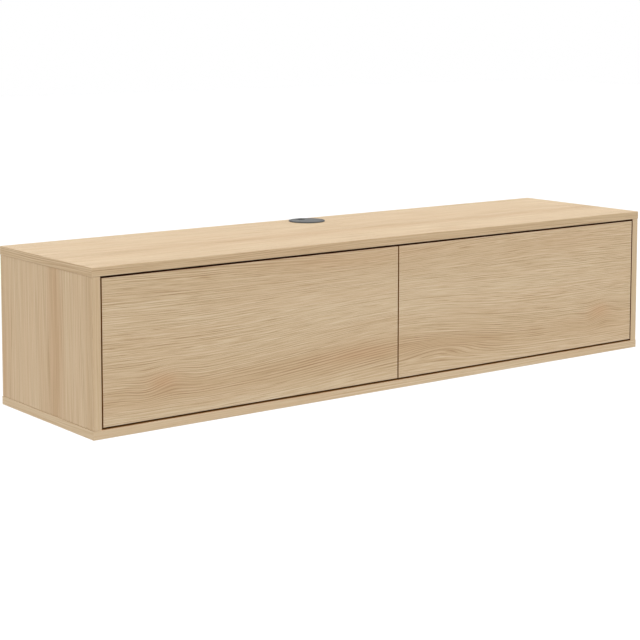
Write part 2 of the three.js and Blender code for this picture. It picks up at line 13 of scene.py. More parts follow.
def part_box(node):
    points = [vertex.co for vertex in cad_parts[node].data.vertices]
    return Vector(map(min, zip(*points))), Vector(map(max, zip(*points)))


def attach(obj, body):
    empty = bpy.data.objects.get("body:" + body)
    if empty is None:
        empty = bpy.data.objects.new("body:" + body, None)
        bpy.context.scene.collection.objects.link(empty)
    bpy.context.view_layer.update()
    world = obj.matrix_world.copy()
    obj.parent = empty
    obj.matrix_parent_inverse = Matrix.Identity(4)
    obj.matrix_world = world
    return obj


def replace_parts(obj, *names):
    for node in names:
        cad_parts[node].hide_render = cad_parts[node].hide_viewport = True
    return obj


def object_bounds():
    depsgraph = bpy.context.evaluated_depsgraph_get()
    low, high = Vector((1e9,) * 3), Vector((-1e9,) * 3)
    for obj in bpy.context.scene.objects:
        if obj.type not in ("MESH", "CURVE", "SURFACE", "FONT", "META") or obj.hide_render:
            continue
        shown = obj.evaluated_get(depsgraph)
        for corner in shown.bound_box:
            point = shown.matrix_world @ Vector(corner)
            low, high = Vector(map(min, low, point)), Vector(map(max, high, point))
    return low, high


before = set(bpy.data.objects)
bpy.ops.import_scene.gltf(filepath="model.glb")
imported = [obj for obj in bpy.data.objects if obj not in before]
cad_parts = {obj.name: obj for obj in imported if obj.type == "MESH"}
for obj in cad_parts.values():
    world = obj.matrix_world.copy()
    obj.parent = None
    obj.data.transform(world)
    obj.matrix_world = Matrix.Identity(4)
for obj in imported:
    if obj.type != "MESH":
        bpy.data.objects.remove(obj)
cad_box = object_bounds()

# Camera, from the photograph's perspective
CAMERA_PLACE = Vector((-2.4625, -3.3183, 0.580))
CAMERA_AZIMUTH = math.radians(36.917)
CAMERA_ELEVATION = math.radians(5.658)
CAMERA_LENS = 94.96
CAMERA_SHIFT_SHARES = (0.025, -0.22)

# Stage
FLOOR_DROP = 1.0
FLOOR_HALF = 30.0
FLOOR_TONE_SHARE = 0.50
FLOOR_LIFT_SHARE = 0.52
ROOM_LIGHT_SHARE = 0.36
SUN_SPREAD = math.radians(50)
WHITE = (1, 1, 1, 1)

# Each soft lamp's direction from the object, and its light on a face turned to it
SOFT_LAMPS = {
    "overhead_lamp": (Vector((0.0, -0.25, 1.0)), 0.39),
    "front_lamp": (Vector((0.40, -0.80, 0.48)), 0.41),
    "left_lamp": (Vector((-0.92, 0.18, 0.28)), 0.40),
    "right_lamp": (Vector((0.92, 0.18, 0.28)), 0.20),
    "back_lamp": (Vector((0.0, 0.90, 0.20)), 0.25),
}

# Smoothed forms
CREASE = math.radians(35)
TURN_STEPS = 40
EASE_STEPS = 4

# Fixings
CAM_RADIUS = 0.0085
CAM_HEIGHT = 0.0007
CAM_INSET = 0.034
CAM_FROM_FRONT = 0.060
CAM_FROM_BACK = 0.045
CAM_EASE_SHARE = 0.8
BOX_CAM_FROM_FRONT = 0.024
BOX_CAM_SPREAD = 0.120
PAN_RADIUS = 0.0036
PAN_HEIGHT = 0.0020
SINK_RADIUS = 0.0021
SINK_HEIGHT = 0.0009
CORNER_RADIUS = 0.0035
CORNER_HEIGHT = 0.0004
CORNER_SPREADS = (-0.085, 0.075)
LATCH_SCREW_RADIUS = 0.0030
LATCH_SCREW_HEIGHT = 0.0014
LATCH_FLANGE = 0.003
LATCH_SCREW_INSET = 0.014
LATCH_BODY_WIDTH = 0.017

# A screw's dome and cross, as shares of its head's radius and height
DOME_SHOULDER_SHARE = 0.8
DOME_EASE_SHARE = 0.3
CROSS_REACH_SHARE = 0.60
CROSS_WIDTH_SHARE = 0.22
CROSS_DEPTH_SHARE = 0.60
CROSS_FOOT_SHARE = 0.55
CROSS_OVERRUN_SHARE = 2
CROSS_ARMS = 4

# Cable grommet
GROMMET_STEPS = 128
FLANGE_LIP = 0.0043
FLANGE_HEIGHT = 0.0020
THROAT_PLAY = 0.0003
CAP_LEDGE = 0.0028
LEDGE_HEIGHT = 0.0020
RING_EASE = 0.0008
CAP_EASE = 0.0006
SLOT_WIDTH = 0.018
SLOT_LENGTH = 0.025
SLOT_STEPS = 20
SLOT_OVERRUN_SHARE = 2
DISH_RADIUS = 0.031
DISH_WIDTH = 0.0012
DISH_DEPTH = 0.0004

# Runners
BALL_RADIUS = 0.0015
BALL_STEPS = 20
BALL_RINGS = 12
BALLS_IN_ROW = 5
CAGE_END = 0.011
CAGE_SHEET = 0.0005
CAGE_BEND = 0.0010
CAGE_LIP = 0.0008
MEMBER_SHEET = 0.0012
RUNNER_HOLE_INSET = 0.016

# Hangers and latches
HANGER_SHEET = 0.0015
HANGER_HOLE_SPREAD = 0.024
TIP_LENGTH = 0.003
ROD_RADIUS = 0.004
TIP_EASE = 0.0011
ROD_EASE = 0.0005

# The sides and the runners. A runner with the hand 1 is at its drawer's left, and one with -1 at its right
SIDES = ("left", "right")
RUNNERS = (1, 2, 3, 4)
HANDS = {1: 1, 2: -1, 3: 1, 4: -1}
DRAWER_OF = {1: "left", 2: "left", 3: "right", 4: "right"}

# The usual curve from stored colour values to linear light
SRGB_TOP = 255
SRGB_KNEE_SHARE = 0.04045
SRGB_SLOPE = 12.92
SRGB_LIFT_SHARE = 0.055
SRGB_POWER = 2.4


def srgb(red, green, blue):
    """A colour in linear light from its usual 0 to 255 values."""
    def linear(value):
        share = value / SRGB_TOP
        if share <= SRGB_KNEE_SHARE:
            return share / SRGB_SLOPE
        return ((share + SRGB_LIFT_SHARE) / (1 + SRGB_LIFT_SHARE)) ** SRGB_POWER
    return (linear(red), linear(green), linear(blue), 1)


# A timber's colours from dark to light, its warm colour, and how strongly its grain shows
Timber = namedtuple("Timber", "dark mid light warm contrast_share")
OAK = Timber(srgb(158, 123, 86), srgb(206, 180, 144), srgb(224, 204, 174), srgb(198, 153, 115), 1.0)
SIDE_OAK = OAK._replace(contrast_share=0.75)
BIRCH = Timber(srgb(190, 164, 128), srgb(221, 204, 176), srgb(232, 219, 196), srgb(212, 186, 152), 0.6)
BACK = Timber(srgb(176, 150, 116), srgb(206, 183, 150), srgb(218, 198, 168), srgb(198, 166, 130), 0.5)
MID_SHARE = 0.5

# The axes of a board: its grain runs along one, crosses the next, and the board is thin on the last
Grain = namedtuple("Grain", "run across thin")
LENGTHWISE_FRONT = Grain("X", "Z", "Y")
LENGTHWISE_FLAT = Grain("X", "Y", "Z")
UPRIGHT = Grain("Z", "Y", "X")
DEEP_WALL = Grain("Y", "Z", "X")

# Noise drawn out along the grain, in waves to the metre along it and across it
Streak = namedtuple("Streak", "along across detail roughness", defaults=(1.0, 0.5))
SWAY = Streak(1.3, 4.0)
RIPPLE = Streak(6.0, 16.0)
BANDS = Streak(0.6, 26.0, 2.0)
LINES = Streak(3.0, 150.0, 2.0, 0.6)
THREADS = Streak(3.0, 380.0, 1.0, 0.7)
FIBRES = Streak(7.0, 900.0, 1.0, 0.6)
FRONT_FIBRES = FIBRES._replace(along=18.0)
PORES = Streak(45.0, 1100.0)
RING_WANDER = Streak(1.6, 30.0)
HAIR_WANDER = Streak(2.1, 75.0)
HAIR_FADE = Streak(2.6, 48.0)
WARM_CLOUDS = Streak(2.0, 22.0, 2.0)
ROW_WAVES = 420.0

# How far the grain strays from straight, how far rows of fibres are shifted, and the pitch of its lines
SWAY_REACH = 0.005
RIPPLE_REACH = 0.0005
ROW_SHIFT = 0.12
RING_WANDER_REACH = 0.003
HAIR_WANDER_REACH = 0.0022
RING_PITCH = 0.0046
HAIR_PITCH = 0.0048
RING_SHARPNESS = 2.0

# What each part of the grain adds to the tone, where 0 is the timber's dark colour and 1 its light one
BASE_SHARE = 0.57
BAND_SHARE = 0.035
LINE_SHARE = 0.02
HAIR_SHARE = 0.19
THREAD_SHARE = 0.10
FIBRE_SHARE = 0.42
PORE_SHARE = -0.14
RING_SHARE = -0.30

# How strongly hairs, rings and warm clouds show where no spot says more, and how far they quiet the rest
HAIR_BASE_SHARE = 0.7
HAIR_FADE_SHARE = 0.6
RING_BASE_SHARE = 0.05
WARM_BASE_SHARE = 0.05
WARM_CLOUD_SHARE = 0.12
WARM_TINT_SHARE = 0.55
RING_COVER_SHARE = 0.5
WARM_COVER_SHARE = 0.3
EDGE_GRAIN_SHARE = 0.5

# A face counts as turned to an axis, and a noise as a pore, above these
FACING_SHARE = 0.7
PORE_LIMIT = 0.7

# Where in the noise a face and an end lie, apart from the board's edges
FACE_LAYER = 1.7
END_LAYER = 3.1

# Wood's sheen and relief
WOOD_ROUGHNESS_SHARE = 0.56
WOOD_UNEVEN_SHARE = 0.03
WOOD_SPECULAR_SHARE = 0.15
WOOD_RELIEF = 0.00006
FIBRE_RELIEF_SHARE = 0.3
LINE_RELIEF_SHARE = 0.3
PORE_RELIEF_SHARE = -0.8

# Painted shade: browns painted on a board where other faces close it in, in the gaps round the fronts,
# standing in for the shade that falls there
PAINTED_SHADE_DARK = srgb(94, 40, 10)
PAINTED_SHADE_BROWN = srgb(94, 46, 16)
PAINTED_SHADE_TAN = srgb(160, 113, 62)
PAINTED_SHADE_PALE = srgb(180, 124, 66)
GAP_BEHIND = 0.020
GAP_SLACK = 0.001
GAP_REACH = 0.016
GAP_SAMPLES = 8
GAP_GAIN = 2.2

# A board's faces that look along an axis, to its plus or minus side, and the brown of the shade painted on
# them in a gap
Gap = namedtuple("Gap", "axis sign colour")
FRONT_GAP_SHADES = [Gap("Z", 1, PAINTED_SHADE_DARK), Gap("Z", -1, PAINTED_SHADE_DARK), Gap("X", 1, PAINTED_SHADE_TAN), Gap("X", -1, PAINTED_SHADE_TAN)]

# A smooth hill on a board's face: its place and reach along the grain and across it, and its height.
# Swells push the grain aside by their height, tones change the tone, warms and rings strengthen those
Spot = namedtuple("Spot", "along across reach_along reach_across height")
Figure = namedtuple("Figure", "swells tones warms rings", defaults=((), (), (), ()))
PLAIN = Figure()

# How the veneer's figure runs on the two fronts, which are cut from one sheet
FRONT_FIGURE = Figure(
    swells=[
        Spot(0.150, -0.204, 0.105, 0.020, 0.0135),
        Spot(-0.605, -0.175, 0.040, 0.034, 0.010),
        Spot(-0.680, -0.190, 0.034, 0.030, -0.006),
        Spot(0.690, -0.172, 0.040, 0.034, 0.010),
        Spot(0.615, -0.190, 0.034, 0.030, -0.006),
        Spot(0.0, -0.150, 0.300, 0.100, 0.034),
        Spot(-0.10, 0.045, 0.280, 0.055, -0.022),
        Spot(0.45, 0.000, 0.160, 0.050, 0.008),
    ],
    tones=[
        Spot(-0.40, 0.030, 0.420, 0.034, -0.07),
        Spot(-0.05, 0.025, 0.330, 0.030, 0.04),
        Spot(-0.15, -0.060, 0.330, 0.045, 0.08),
        Spot(0.30, -0.085, 0.480, 0.040, 0.08),
        Spot(-0.20, -0.190, 0.330, 0.028, -0.045),
        Spot(0.20, -0.195, 0.300, 0.028, -0.045),
        Spot(0.150, -0.2135, 0.045, 0.004, -0.10),
        Spot(0.65, -0.180, 0.110, 0.028, -0.06),
        Spot(-0.66, -0.185, 0.110, 0.028, -0.05),
        Spot(0.0, -0.250, 0.900, 0.016, 0.10),
    ],
    warms=[
        Spot(-0.11, -0.188, 0.110, 0.017, 0.40),
        Spot(-0.635, -0.178, 0.036, 0.018, 0.70),
        Spot(0.660, -0.168, 0.036, 0.020, 0.70),
        Spot(-0.05, 0.030, 0.300, 0.030, 0.25),
        Spot(0.58, 0.020, 0.180, 0.035, 0.22),
        Spot(0.00, -0.205, 0.900, 0.045, 0.14),
    ],
    rings=[
        Spot(0.20, -0.195, 0.330, 0.040, 0.9),
        Spot(-0.28, -0.195, 0.300, 0.036, 1.0),
        Spot(-0.66, -0.200, 0.120, 0.034, 0.60),
        Spot(0.67, -0.200, 0.120, 0.034, 0.60),
        Spot(-0.40, 0.045, 0.360, 0.030, 0.70),
        Spot(0.10, 0.030, 0.300, 0.025, 0.35),
    ],
)

# The side panels' darker upright band, and the slanted lines by their front edge
SIDE_FIGURE = Figure(
    swells=[Spot(-0.010, -0.385, 0.130, 0.030, 0.012)],
    tones=[
        Spot(-0.100, -0.234, 0.900, 0.036, -0.13),
        Spot(-0.100, -0.006, 0.900, 0.014, -0.09),
        Spot(-0.100, -0.385, 0.900, 0.014, -0.06),
        Spot(-0.100, -0.330, 0.900, 0.030, 0.05),
        Spot(-0.100, -0.150, 0.900, 0.045, 0.05),
        Spot(-0.160, -0.010, 0.120, 0.008, -0.10),
    ],
    warms=[
        Spot(-0.100, -0.200, 0.900, 0.300, 0.10),
        Spot(-0.130, -0.238, 0.500, 0.027, 0.30),
        Spot(-0.200, -0.012, 0.100, 0.008, 0.50),
    ],
    rings=[Spot(-0.100, -0.390, 0.900, 0.016, 0.8), Spot(-0.100, -0.243, 0.900, 0.020, 0.5)],
)

# The top's darker band, and its darker front edge
TOP_FIGURE = Figure(
    tones=[
        Spot(0.0, -0.238, 1.600, 0.026, -0.12),
        Spot(0.0, -0.330, 1.600, 0.050, 0.06),
        Spot(0.0, -0.110, 1.600, 0.060, 0.05),
        Spot(0.0, 0.0625, 2.000, 0.020, -0.14),
    ],
    warms=[Spot(0.0, -0.238, 1.600, 0.030, 0.15)],
)

# The bottom's lighter front edge
BOTTOM_FIGURE = Figure(tones=[Spot(0.0, -0.2705, 2.000, 0.014, 0.10)])

# Each wood: its timber, its grain, its own place in the noise, its figure, its painted gap shades and its
# fibres
Board = namedtuple("Board", "timber grain seed figure gaps fibres", defaults=(PLAIN, (), FIBRES))
BOARDS = {
    "oak_front": Board(OAK, LENGTHWISE_FRONT, 0.3, FRONT_FIGURE, FRONT_GAP_SHADES, FRONT_FIBRES),
    "oak_top": Board(OAK, LENGTHWISE_FLAT, 5.2, TOP_FIGURE, [Gap("Z", -1, PAINTED_SHADE_DARK)]),
    "oak_bottom": Board(OAK, LENGTHWISE_FLAT, 9.4, BOTTOM_FIGURE, [Gap("Z", 1, PAINTED_SHADE_PALE)]),
    "oak_left": Board(SIDE_OAK, UPRIGHT, 14.1, SIDE_FIGURE, [Gap("X", 1, PAINTED_SHADE_TAN)]),
    "oak_right": Board(SIDE_OAK, UPRIGHT, 21.7, SIDE_FIGURE, [Gap("X", -1, PAINTED_SHADE_BROWN)]),
    "oak_partition": Board(OAK, UPRIGHT, 27.2),
    "birch_wall": Board(BIRCH, DEEP_WALL, 33.0),
    "birch_back": Board(BIRCH, LENGTHWISE_FRONT, 38.0),
    "birch_floor": Board(BIRCH, LENGTHWISE_FLAT, 44.0),
    "back_board": Board(BACK, LENGTHWISE_FRONT, 51.0),
}

# Each metal: its colour, its roughness and the axis along which it is drawn
Metal = namedtuple("Metal", "colour roughness_share run")
METALS = {
    "zinc_long": Metal(srgb(196, 199, 202), 0.34, "X"),
    "zinc_deep": Metal(srgb(196, 199, 202), 0.30, "Y"),
    "cage_steel": Metal(srgb(206, 205, 200), 0.36, "Y"),
    "ball_steel": Metal(srgb(215, 216, 218), 0.12, "Y"),
    "screw_steel": Metal(srgb(206, 206, 203), 0.26, "Z"),
}
METAL_CLOUD_WAVES = 90.0
METAL_CLOUD_DETAIL = 3.0
METAL_CLOUD_SHARE = 0.10
METAL_CLOUD_ROUGH_SHARE = 0.04
DRAWN_WAVES_ALONG = 40.0
DRAWN_WAVES_ACROSS = 2600.0
DRAWN_DETAIL = 2.0
DRAWN_SHARE = 0.05
DRAWN_ROUGH_SHARE = 0.03
DRAWN_RELIEF = 0.00002
METAL_DULL_SHARE = 0.78
METAL_BRIGHT_SHARE = 1.12

# Each plastic or rubber: its colour, its roughness and its sheen
SPECULAR_SHARE = 0.5
Plastic = namedtuple("Plastic", "colour roughness_share specular_share", defaults=(SPECULAR_SHARE,))
PLASTICS = {
    "ring_plastic": Plastic(srgb(76, 77, 79), 0.70, 0.3),
    "cap_plastic": Plastic(srgb(97, 98, 97), 0.70, 0.3),
    "latch_plastic": Plastic(srgb(206, 205, 200), 0.45),
    "rod_plastic": Plastic(srgb(150, 152, 154), 0.45),
    "tip_rubber": Plastic(srgb(66, 66, 68), 0.75),
    "cam_plastic": Plastic(srgb(205, 183, 150), 0.45),
}
SKIN_WAVES = 1600.0
SKIN_DETAIL = 2.0
SKIN_SHARE = 0.10
SKIN_RELIEF = 0.00003
PLASTIC_CLOUD_WAVES = 60.0
PLASTIC_CLOUD_DETAIL = 3.0
PLASTIC_CLOUD_SHARE = 0.16
PLASTIC_CLOUD_ROUGH_SHARE = 0.05
PLASTIC_DULL_SHARE = 0.82
PLASTIC_BRIGHT_SHARE = 1.15

# Noise nodes give 0 to 1, mostly near a half, and are spread to about 1 either side of 0
NOISE_GAIN = 5.0
NOISE_ROUGHNESS = 0.5

# The Mix node's sockets for numbers and for colours
MIX_SHARE = 0
MIX_NUMBERS = (2, 3)
MIX_COLOURS = (6, 7)
MIX_COLOUR_OUT = 2


class Graph:
    """One material's shader nodes. Its calls add nodes and return the sockets that come out of them."""

    def __init__(self, name):
        self.material = bpy.data.materials.new(name)
        self.material.use_nodes = True
        self.tree = self.material.node_tree
        self.shader = self.tree.nodes["Principled BSDF"]

    def feed(self, socket, value):
        if isinstance(value, bpy.types.NodeSocket):
            self.tree.links.new(value, socket)
        else:
            socket.default_value = value

    def math(self, operation, *values, clamp=False):
        node = self.tree.nodes.new("ShaderNodeMath")
        node.operation = operation
        node.use_clamp = clamp
        for socket, value in zip(node.inputs, values):
            self.feed(socket, value)
        return node.outputs[0]

    def add(self, first, second):
        return self.math("ADD", first, second)

    def times(self, first, second):
        return self.math("MULTIPLY", first, second)

    def swing(self, value, amount, middle):
        """The middle, with the value added at that amount."""
        return self.math("MULTIPLY_ADD", value, amount, middle)

    def total(self, values):
        result = values[0]
        for value in values[1:]:
            result = self.add(result, value)
        return result

    def split(self, vector):
        node = self.tree.nodes.new("ShaderNodeSeparateXYZ")
        self.feed(node.inputs[0], vector)
        return {axis: node.outputs[axis] for axis in "XYZ"}

    def join(self, x, y, z):
        node = self.tree.nodes.new("ShaderNodeCombineXYZ")
        for socket, value in zip(node.inputs, (x, y, z)):
            self.feed(socket, value)
        return node.outputs[0]

    def coordinates(self, output):
        node = self.tree.nodes.new("ShaderNodeTexCoord")
        return node.outputs[output]

    def mix(self, kind, sockets, share, low, high):
        """A Mix node of a kind, fed through the sockets of that kind."""
        node = self.tree.nodes.new("ShaderNodeMix")
        node.data_type = kind
        for index, value in zip((MIX_SHARE,) + sockets, (share, low, high)):
            self.feed(node.inputs[index], value)
        return node

    def pick(self, share, low, high):
        """The number low where share is 0, and high where it is 1."""
        return self.mix("FLOAT", MIX_NUMBERS, share, low, high).outputs[0]

    def tint(self, share, low, high):
        """The colour low where share is 0, and high where it is 1."""
        return self.mix("RGBA", MIX_COLOURS, share, low, high).outputs[MIX_COLOUR_OUT]

    def noise(self, vector, detail, roughness=NOISE_ROUGHNESS):
        """Noise centred on 0, mostly within 1 either side."""
        node = self.tree.nodes.new("ShaderNodeTexNoise")
        self.feed(node.inputs["Vector"], vector)
        node.inputs["Scale"].default_value = 1
        node.inputs["Detail"].default_value = detail
        node.inputs["Roughness"].default_value = roughness
        return self.swing(node.outputs[0], NOISE_GAIN, -NOISE_GAIN / 2)

    def clouds(self, place, waves, detail):
        """Noise of one scale in every direction."""
        return self.noise(self.join(*(self.times(place[axis], waves) for axis in "XYZ")), detail)

    def streaks(self, run, across, layer, streak):
        """Noise drawn out along the grain."""
        vector = self.join(self.times(run, streak.along), self.times(across, streak.across), layer)
        return self.noise(vector, streak.detail, streak.roughness)

    def hill(self, run, across, spot):
        """A smooth hill of height 1 at a spot on a board's face."""
        along = self.times(self.math("SUBTRACT", run, spot.along), 1 / spot.reach_along)
        aside = self.times(self.math("SUBTRACT", across, spot.across), 1 / spot.reach_across)
        spread = self.swing(along, along, self.times(aside, aside))
        return self.math("EXPONENT", self.times(spread, -1))

    def hills(self, run, across, spots):
        """The sum of hills, each of its spot's height."""
        result = 0
        for spot in spots:
            result = self.swing(self.hill(run, across, spot), spot.height, result)
        return result

    def turned_to(self, facing):
        """1 where a face looks along an axis as its share of the normal says, and 0 elsewhere."""
        return self.math("GREATER_THAN", facing, FACING_SHARE)

    def bump(self, height, distance):
        node = self.tree.nodes.new("ShaderNodeBump")
        node.inputs["Strength"].default_value = 1
        node.inputs["Distance"].default_value = distance
        self.feed(node.inputs["Height"], height)
        return node.outputs[0]

    def closeness(self, reach):
        """How far other faces close a place off within a reach: 0 in the open, 1 deep in a gap."""
        node = self.tree.nodes.new("ShaderNodeAmbientOcclusion")
        node.samples = GAP_SAMPLES
        node.inputs["Distance"].default_value = reach
        return self.math("SUBTRACT", 1, node.outputs["AO"])

    def ramp(self, share, stops):
        node = self.tree.nodes.new("ShaderNodeValToRGB")
        elements = node.color_ramp.elements
        while len(elements) < len(stops):
            elements.new(0)
        for element, (position, colour) in zip(elements, stops):
            element.position = position
            element.color = colour
        self.feed(node.inputs[0], share)
        return node.outputs[0]

    def finish(self, colour, roughness, normal, metallic=0, specular=SPECULAR_SHARE):
        self.feed(self.shader.inputs["Base Color"], colour)
        self.feed(self.shader.inputs["Roughness"], roughness)
        self.feed(self.shader.inputs["Normal"], normal)
        self.shader.inputs["Metallic"].default_value = metallic
        self.shader.inputs["Specular IOR Level"].default_value = specular
        return self.material


def straying(graph, run, across, layer, on_face, swells):
    """The place across the grain, bent by its sway and ripple and round its swells."""
    sway = graph.streaks(run, across, layer, SWAY)
    ripple = graph.streaks(run, across, layer, RIPPLE)
    bent = graph.swing(sway, SWAY_REACH, across)
    bent = graph.swing(ripple, RIPPLE_REACH, bent)
    if not swells:
        return bent
    swell = graph.hills(run, across, swells)
    return graph.math("SUBTRACT", bent, graph.times(swell, on_face))


def growth_rings(graph, run, bent, layer):
    """Dark rings at an even pitch, 0 between them and 1 on them."""
    wander = graph.streaks(run, bent, layer, RING_WANDER)
    phase = graph.times(graph.swing(wander, RING_WANDER_REACH, bent), math.tau / RING_PITCH)
    wave = graph.swing(graph.math("SINE", phase), 1 / 2, 1 / 2)
    return graph.math("POWER", wave, RING_SHARPNESS)


def fine_hairs(graph, run, bent, layer):
    """Fine lines at an even pitch that fade in and out."""
    wander = graph.streaks(run, bent, layer, HAIR_WANDER)
    phase = graph.times(graph.swing(wander, HAIR_WANDER_REACH, bent), math.tau / HAIR_PITCH)
    strength = graph.swing(graph.streaks(run, bent, layer, HAIR_FADE), HAIR_FADE_SHARE, HAIR_BASE_SHARE)
    return graph.times(graph.math("SINE", phase), strength)


def paint_gap_shade(graph, place, normal, gap_shades, colour, roughness):
    """The colour and roughness, with shade painted in brown where other faces close in the opening for the
    fronts.
    """
    # painted shade: how closed in a place is sets how much of the gap's brown it takes
    closed = graph.math("MULTIPLY", graph.closeness(GAP_REACH), GAP_GAIN, clamp=True)
    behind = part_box("drawer_left_front")[1].y + GAP_BEHIND
    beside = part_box("side_panel_right")[0].x + GAP_SLACK
    near = graph.math("LESS_THAN", place["Y"], behind)
    inside = graph.math("LESS_THAN", graph.math("ABSOLUTE", place["X"]), beside)
    near = graph.times(near, inside)
    for gap in gap_shades:
        toward = graph.turned_to(graph.times(normal[gap.axis], gap.sign))
        # painted shade in the gap's brown on faces turned into a closed gap near the fronts, made rough
        # there too
        painted_shade = graph.times(graph.times(toward, near), closed)
        colour = graph.tint(painted_shade, colour, gap.colour)
        roughness = graph.math("MAXIMUM", roughness, painted_shade)
    return colour, roughness


def wood(name, board):
    """Wood with its grain along a board's face, and along each of its banded edges."""
    timber, grain, seed, figure, gap_shades, fibre_streak = board
    graph = Graph(name)
    place = graph.split(graph.coordinates("Object"))
    normal = graph.split(graph.coordinates("Normal"))
    on_face = graph.turned_to(graph.math("ABSOLUTE", normal[grain.thin]))
    on_end = graph.turned_to(graph.math("ABSOLUTE", normal[grain.run]))
    run = graph.pick(on_end, place[grain.run], place[grain.across])
    across = graph.pick(on_face, place[grain.thin], place[grain.across])
    layer = graph.total([graph.times(on_face, FACE_LAYER), graph.times(on_end, END_LAYER), seed])
    bent = straying(graph, run, across, layer, on_face, figure.swells)

    bands = graph.streaks(run, bent, layer, BANDS)
    lines = graph.streaks(run, bent, layer, LINES)
    rows = graph.noise(graph.join(0, graph.times(bent, ROW_WAVES), layer), 0)
    loose = graph.swing(rows, ROW_SHIFT, run)
    threads = graph.streaks(loose, bent, layer, THREADS)
    fibres = graph.streaks(loose, bent, layer, fibre_streak)
    pores = graph.math("GREATER_THAN", graph.streaks(loose, bent, layer, PORES), PORE_LIMIT)
    rings = growth_rings(graph, run, bent, layer)
    hairs = fine_hairs(graph, run, bent, layer)

    ringed = graph.math("ADD", graph.hills(run, across, figure.rings), RING_BASE_SHARE, clamp=True)
    clouds = graph.swing(graph.streaks(run, bent, layer, WARM_CLOUDS), WARM_CLOUD_SHARE, WARM_BASE_SHARE)
    warmth = graph.math("ADD", graph.hills(run, across, figure.warms), clouds, clamp=True)
    covered = graph.add(graph.times(ringed, RING_COVER_SHARE), graph.times(warmth, WARM_COVER_SHARE))
    plain = graph.times(graph.math("SUBTRACT", 1, covered), graph.pick(on_face, EDGE_GRAIN_SHARE, 1))

    contrast = timber.contrast_share
    grained = graph.total([
        graph.times(hairs, HAIR_SHARE * contrast),
        graph.times(threads, THREAD_SHARE * contrast),
        graph.times(fibres, FIBRE_SHARE * contrast),
    ])
    tone = graph.total([
        graph.swing(bands, BAND_SHARE * contrast, BASE_SHARE),
        graph.times(lines, LINE_SHARE * contrast),
        graph.times(grained, plain),
        graph.times(pores, PORE_SHARE * contrast),
        graph.times(graph.times(rings, ringed), RING_SHARE * contrast),
        graph.hills(run, across, figure.tones),
    ])
    colour = graph.ramp(tone, [(0, timber.dark), (MID_SHARE, timber.mid), (1, timber.light)])
    colour = graph.tint(graph.times(warmth, WARM_TINT_SHARE), colour, timber.warm)
    roughness = graph.swing(lines, WOOD_UNEVEN_SHARE, WOOD_ROUGHNESS_SHARE)
    # Painted shade in brown in the gaps round the fronts
    if gap_shades:
        colour, roughness = paint_gap_shade(graph, place, normal, gap_shades, colour, roughness)
    height = graph.total([
        graph.times(fibres, FIBRE_RELIEF_SHARE),
        graph.times(lines, LINE_RELIEF_SHARE),
        graph.times(pores, PORE_RELIEF_SHARE),
    ])
    return graph.finish(colour, roughness, graph.bump(height, WOOD_RELIEF), specular=WOOD_SPECULAR_SHARE)


def shaded(colour, share):
    """The colour made darker or lighter, but no lighter than white."""
    return tuple(min(1, share * value) for value in colour[:3]) + (1,)


def metal(name, look):
    """Plated sheet steel: faintly clouded, with fine drawing lines along its length."""
    graph = Graph(name)
    place = graph.split(graph.coordinates("Object"))
    cloud = graph.clouds(place, METAL_CLOUD_WAVES, METAL_CLOUD_DETAIL)
    thin = [graph.times(place[axis], DRAWN_WAVES_ACROSS) for axis in "XYZ" if axis != look.run]
    drawn = graph.noise(graph.join(graph.times(place[look.run], DRAWN_WAVES_ALONG), *thin), DRAWN_DETAIL)
    tone = graph.swing(cloud, METAL_CLOUD_SHARE, graph.swing(drawn, DRAWN_SHARE, MID_SHARE))
    dull, bright = shaded(look.colour, METAL_DULL_SHARE), shaded(look.colour, METAL_BRIGHT_SHARE)
    colour = graph.ramp(tone, [(0, dull), (1, bright)])
    rough = graph.swing(drawn, DRAWN_ROUGH_SHARE, look.roughness_share)
    rough = graph.swing(cloud, METAL_CLOUD_ROUGH_SHARE, rough)
    return graph.finish(colour, rough, graph.bump(drawn, DRAWN_RELIEF), metallic=1)


def moulded(name, look):
    """Moulded plastic or rubber: a fine eroded skin, slightly uneven in tone."""
    graph = Graph(name)
    place = graph.split(graph.coordinates("Object"))
    skin = graph.clouds(place, SKIN_WAVES, SKIN_DETAIL)
    cloud = graph.clouds(place, PLASTIC_CLOUD_WAVES, PLASTIC_CLOUD_DETAIL)
    tone = graph.swing(cloud, PLASTIC_CLOUD_SHARE, graph.swing(skin, SKIN_SHARE, MID_SHARE))
    dull, bright = shaded(look.colour, PLASTIC_DULL_SHARE), shaded(look.colour, PLASTIC_BRIGHT_SHARE)
    colour = graph.ramp(tone, [(0, dull), (1, bright)])
    rough = graph.swing(cloud, PLASTIC_CLOUD_ROUGH_SHARE, look.roughness_share)
    return graph.finish(colour, rough, graph.bump(skin, SKIN_RELIEF), specular=look.specular_share)


# Every material by its name
looks = {}
for make, table in ((wood, BOARDS), (metal, METALS), (moulded, PLASTICS)):
    for look_name, look in table.items():
        looks[look_name] = make(look_name, look)


def dress(look_name, *names):
    """Gives CAD nodes their material."""
    for name in names:
        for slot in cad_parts[name].material_slots:
            slot.material = looks[look_name]


def dress_nodes():
    """Gives every CAD node its material, the ones that pieces replace too."""
    dress("oak_top", "top_panel")
    dress("oak_bottom", "bottom_panel")
    dress("oak_left", "side_panel_left")
    dress("oak_right", "side_panel_right")
    dress("oak_partition", "centre_partition")
    dress("zinc_long", "wall_rail")
    for side in SIDES:
        dress("back_board", f"back_panel_{side}")
        dress("oak_front", f"drawer_{side}_front")
        dress("birch_wall", f"drawer_{side}_side_left", f"drawer_{side}_side_right")
        dress("birch_back", f"drawer_{side}_back")
        dress("birch_floor", f"drawer_{side}_floor")
        dress("zinc_deep", f"hanger_body_{side}", f"hanger_hook_{side}")
        dress("latch_plastic", f"latch_{side}_housing")
        dress("tip_rubber", f"latch_{side}_plunger")
    for number in RUNNERS:
        members = [f"runner_{number}_{part}_member" for part in ("outer", "middle", "inner")]
        dress("zinc_deep", *members)
        dress("cage_steel", f"runner_{number}_outer_cage", f"runner_{number}_inner_cage")
    dress("ring_plastic", "grommet_ring")
    dress("cap_plastic", "grommet_cap")


